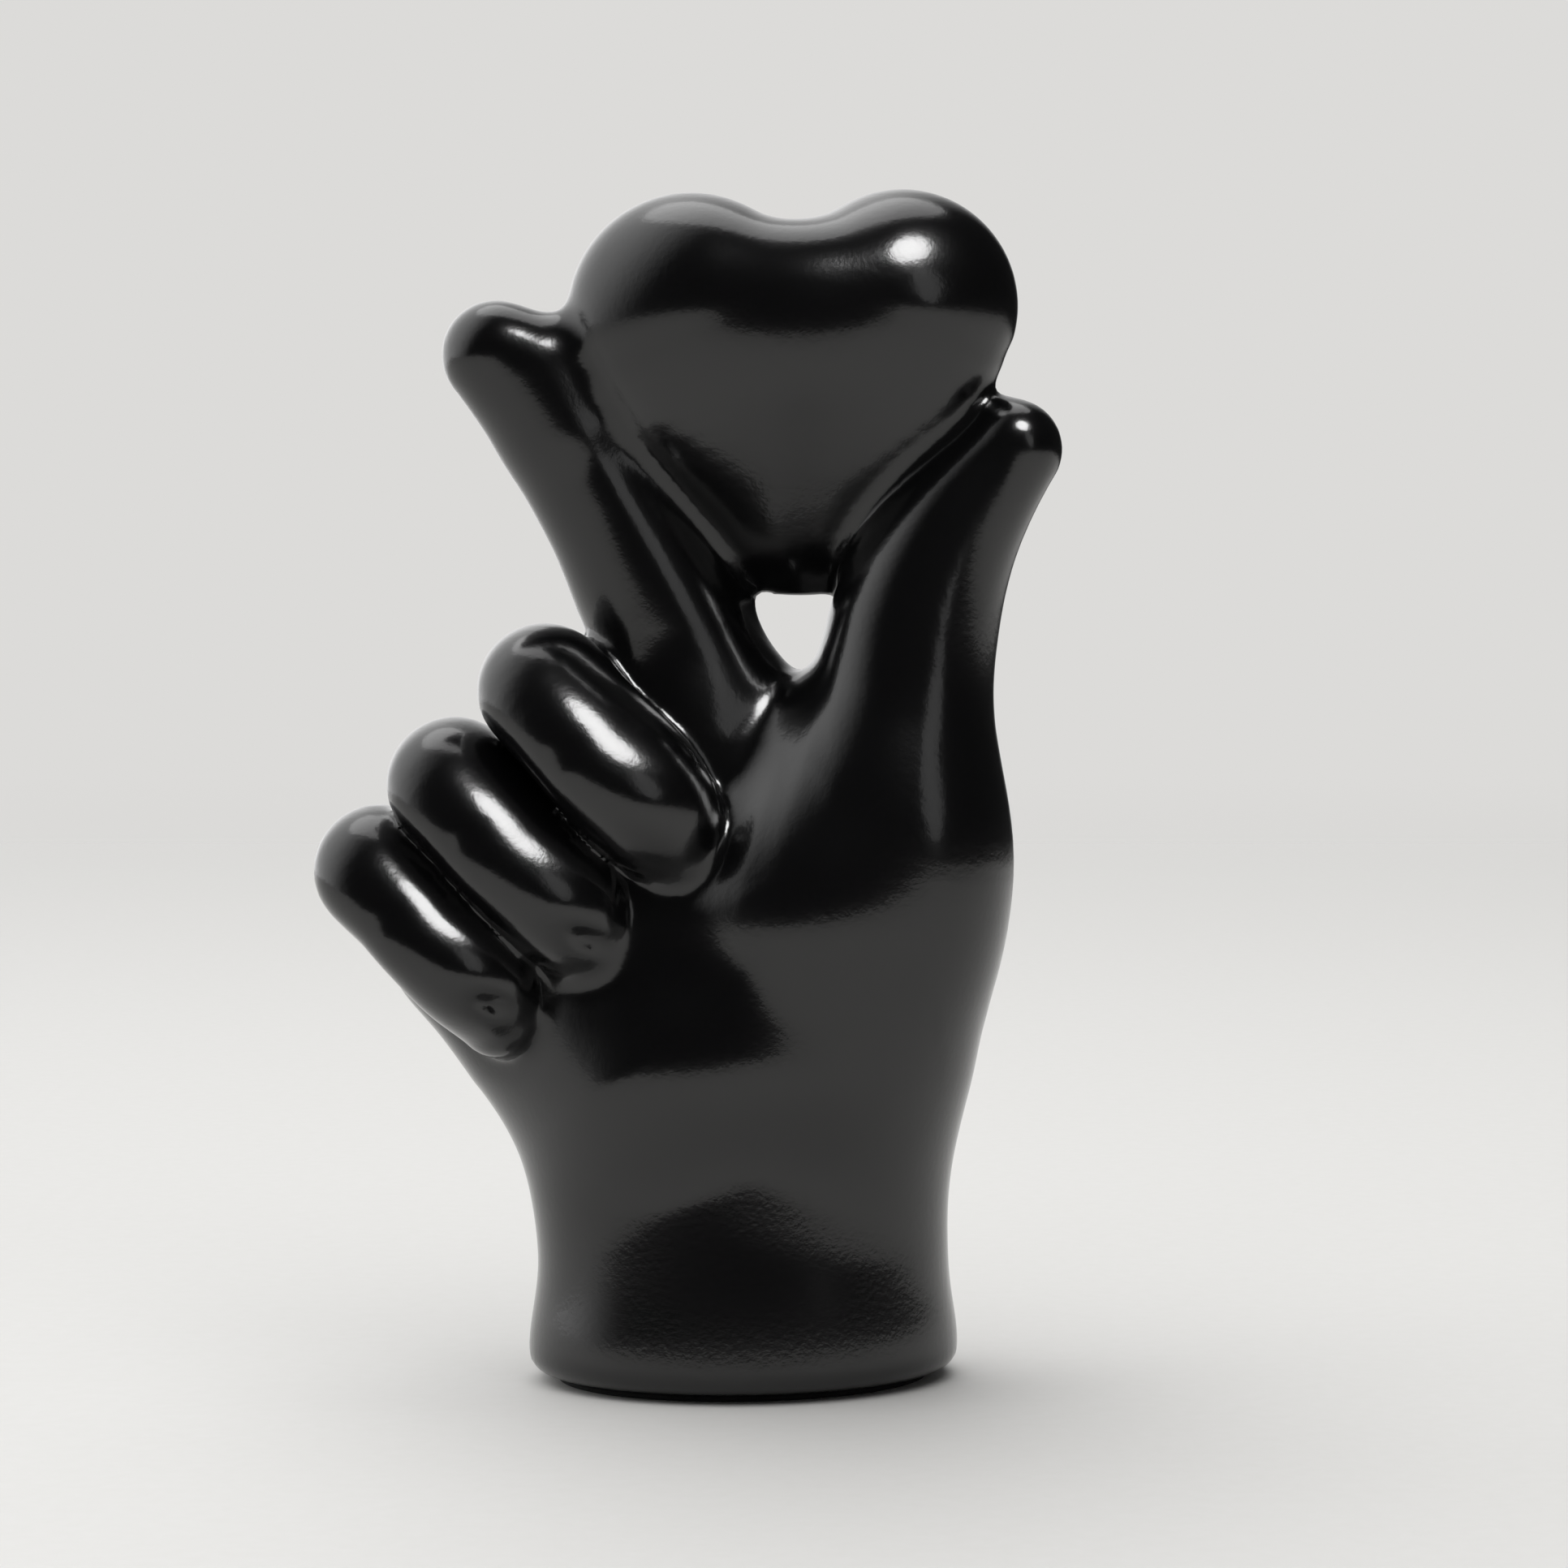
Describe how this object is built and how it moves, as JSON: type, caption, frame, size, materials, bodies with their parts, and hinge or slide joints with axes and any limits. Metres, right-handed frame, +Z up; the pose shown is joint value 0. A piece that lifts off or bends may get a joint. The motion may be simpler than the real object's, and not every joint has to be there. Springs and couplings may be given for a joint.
{
  "type": "hand sculpture",
  "caption": "Free-standing right hand, palm forward, that holds a plump heart between forefinger and thumb tips, the other three fingers curled into the palm, on a flat oval wrist.",
  "frame": {"origin": "middle of the underside of the foot pad, on the surface that the sculpture stands on", "axes": "+Z up, -Y out of the palm to the viewer, +X to the thumb side"},
  "size_m": [0.1117, 0.0521, 0.1797],
  "materials": {
    "lacquer": "gloss black lacquer with a fine orange-peel grain, on cast resin",
    "dowel_steel": "plain steel dowel",
    "filled_resin": "matte poured filling",
    "bare_resin": "unlacquered cast resin",
    "felt": "short-pile black felt"
  },
  "bodies": {
    "root": {"palm_and_wrist": "lacquer", "thumb": "lacquer", "forefinger": "lacquer", "middle_finger": "lacquer", "ring_finger": "lacquer", "little_finger": "lacquer", "heart": "lacquer", "thumb_pin": "dowel_steel", "forefinger_pin": "dowel_steel", "heart_pin_forefinger": "dowel_steel", "heart_pin_thumb": "dowel_steel", "ballast": "filled_resin", "base_plug": "bare_resin", "foot_pad": "felt"}
  },
  "joints": []
}
